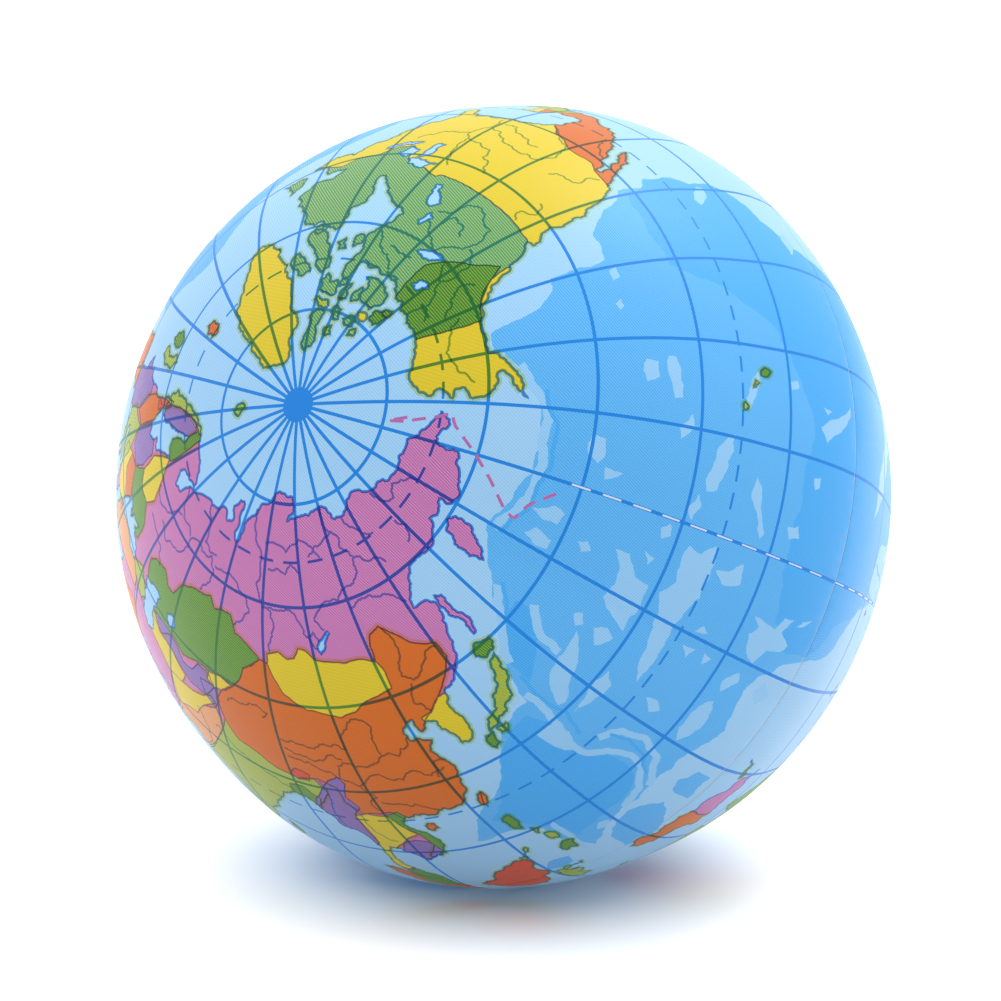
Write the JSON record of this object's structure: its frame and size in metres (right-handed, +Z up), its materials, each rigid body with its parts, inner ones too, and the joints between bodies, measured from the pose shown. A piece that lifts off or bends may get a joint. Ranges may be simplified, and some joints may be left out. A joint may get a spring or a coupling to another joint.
{
  "type": "stress ball",
  "caption": "Foam stress ball printed as a globe, with film skins that meet at a seam round the equator. It squeezes flat along its axis and springs back.",
  "frame": {"origin": "middle of the small flat that the ball rests on", "axes": "+Z straight up as the ball stands; the globe's polar axis passes through the ball's centre and leans 67 degrees from +Z, its north pole towards -X and -Y"},
  "size_m": [0.063, 0.063, 0.0627],
  "materials": {
    "foam": "moulded polyurethane foam with a closed matt skin",
    "north_film": "satin polyurethane film printed with a political globe",
    "south_film": "satin polyurethane film printed with a political globe"
  },
  "bodies": {
    "south_half": {"south_skin": "south_film", "foam_core": "foam"},
    "north_half": {"north_skin": "north_film"}
  },
  "joints": [
    {"name": "squeeze", "type": "slide", "parent": "south_half", "child": "north_half", "axis": [0.524, 0.7568, -0.3907], "range_m": [0, 0.0252], "stiffness_N_per_m": 1500, "deforming": ["foam_core", "south_skin", "north_skin"]}
  ]
}
